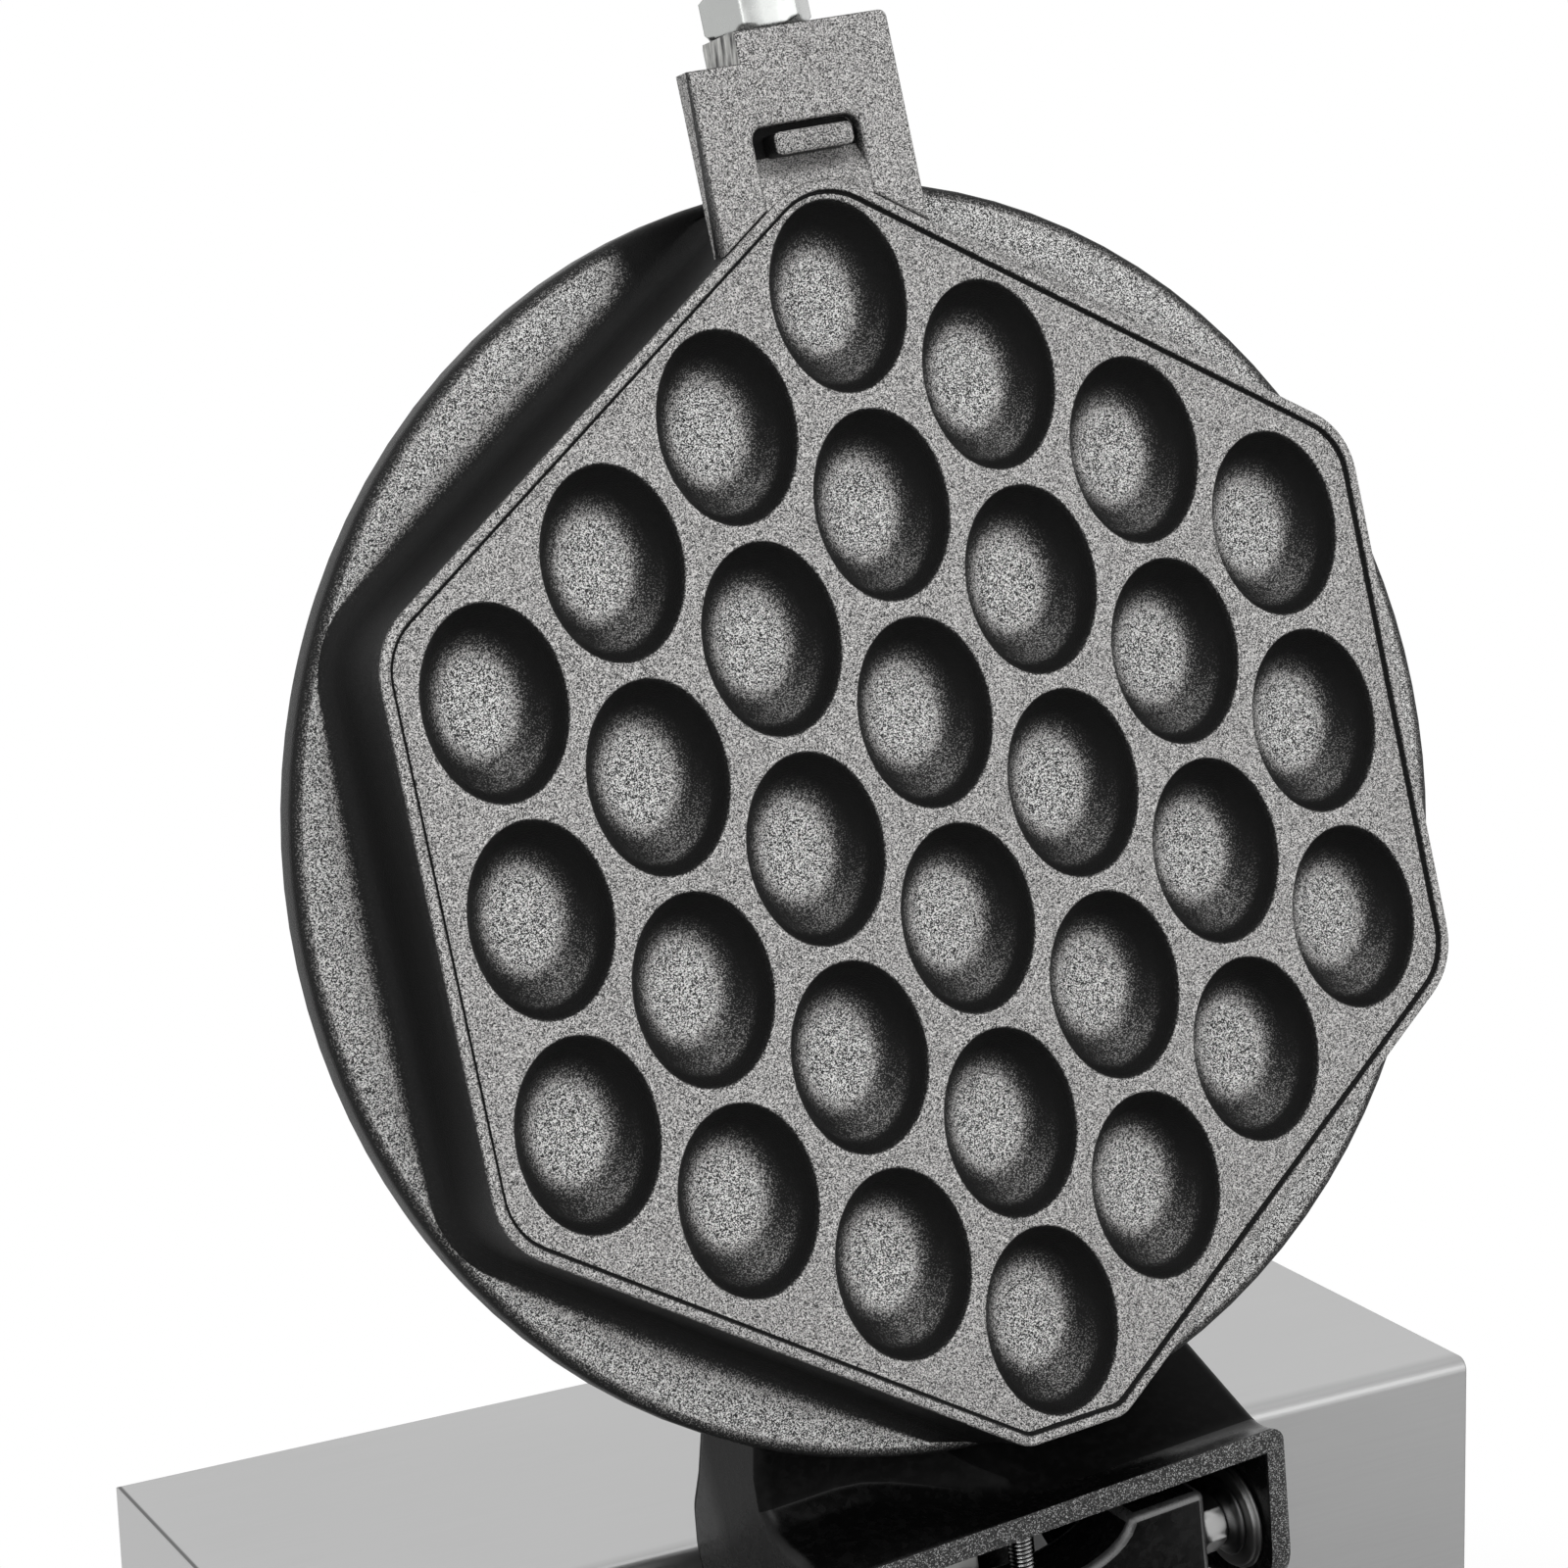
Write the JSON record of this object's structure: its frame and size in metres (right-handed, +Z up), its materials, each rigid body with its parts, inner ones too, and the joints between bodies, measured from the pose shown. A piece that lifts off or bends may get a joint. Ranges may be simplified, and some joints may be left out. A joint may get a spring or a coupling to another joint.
{
  "type": "commercial egg waffle maker",
  "caption": "Countertop bubble waffle maker: two hexagonal plates of oval cells, hinged with handles, roll on an axle in front of a stainless steel tower over a drip tray.",
  "frame": {"origin": "on the bench plane, under the middle of the machine's overall width and length at rest, with the lid open", "axes": "+X to the right, +Y from the handles towards the tower, +Z up"},
  "size_m": [0.265, 0.598, 0.6923],
  "materials": {
    "stainless": "satin, lightly brushed",
    "plain_steel": "plain mill finish",
    "tray_steel": "satin",
    "zinc": "bright zinc plating",
    "dark_steel": "dark oxide",
    "turned_steel": "turned",
    "rod_steel": "bright",
    "element_steel": "dull, heat darkened",
    "coated_plate": "non-stick coating with a fine sparkling grain",
    "black_casting": "gloss black paint on a casting",
    "bronze": "sintered bronze",
    "ivory_plastic": "matt",
    "foot_rubber": "matt",
    "black_plastic": "matt",
    "knob_plastic": "semi gloss",
    "rocker_plastic": "translucent gloss",
    "lamp_plastic": "translucent gloss",
    "wool_pad": "ceramic fibre felt",
    "beech": "lacquered"
  },
  "bodies": {
    "body": {"tower_shell": "stainless", "tower_back_panel": "stainless", "back_panel_screws": "zinc", "axle_bracket": "plain_steel", "bearing_flange": "plain_steel", "bearing_screws": "zinc", "axle_bush": "bronze", "tower_screws": "zinc", "base_shell": "stainless", "base_bottom_plate": "plain_steel", "base_screws": "zinc", "rubber_feet": "foot_rubber", "thermostat_body": "plain_steel", "timer_body": "black_plastic", "switch_body": "black_plastic", "indicator_lamps": "lamp_plastic", "terminal_block": "ivory_plastic", "cable_gland": "black_plastic"},
    "rotor": {"axle_tube": "turned_steel", "axle_collar": "zinc", "thrust_washer": "ivory_plastic", "lower_housing": "black_casting", "lower_plate": "coated_plate", "lower_heater": "element_steel", "lower_clamp_plate": "plain_steel", "lower_insulation": "wool_pad", "lower_housing_screws": "zinc", "lower_handle_rod": "rod_steel", "lower_grip": "beech", "lower_jam_nut": "zinc", "stop_screw": "zinc", "stop_locknut": "zinc", "stop_plate": "plain_steel", "pivot_bolts": "zinc", "pivot_nuts": "zinc", "cup_washers": "dark_steel", "flat_washers": "zinc"},
    "lid": {"upper_plate": "coated_plate", "upper_housing": "black_casting", "upper_heater": "element_steel", "upper_clamp_plate": "plain_steel", "upper_insulation": "wool_pad", "upper_housing_screws": "zinc", "upper_handle_rod": "rod_steel", "upper_grip": "beech", "upper_jam_nut": "zinc"},
    "thermostat_dial": {"thermostat_knob": "knob_plastic"},
    "timer_dial": {"timer_knob": "knob_plastic"},
    "rocker_key": {"rocker": "rocker_plastic"},
    "tray": {"drip_tray": "tray_steel"}
  },
  "joints": [
    {"name": "plate_roll", "type": "hinge", "parent": "body", "child": "rotor", "pos_m": [0, 0.1999, 0.2196], "axis": [0, 1, 0], "range_deg": [-90, 90]},
    {"name": "lid_hinge", "type": "hinge", "parent": "rotor", "child": "lid", "pos_m": [-0.00278, 0.153, 0.25017], "axis": [0.9959, 0, 0.0906], "range_deg": [0, 102.4]},
    {"name": "thermostat_turn", "type": "hinge", "parent": "body", "child": "thermostat_dial", "pos_m": [-0.086, -0.0981, 0.0425], "axis": [0, -1, 0], "range_deg": [0, 270]},
    {"name": "timer_turn", "type": "hinge", "parent": "body", "child": "timer_dial", "pos_m": [0.086, -0.0981, 0.0425], "axis": [0, -1, 0], "range_deg": [-300, 0]},
    {"name": "rocker_tilt", "type": "hinge", "parent": "body", "child": "rocker_key", "pos_m": [0, -0.0911, 0.0425], "axis": [1, 0, 0], "range_deg": [0, 18]},
    {"name": "tray_slide", "type": "slide", "parent": "body", "child": "tray", "axis": [0, -1, 0], "range_m": [0, 0.2]}
  ]
}
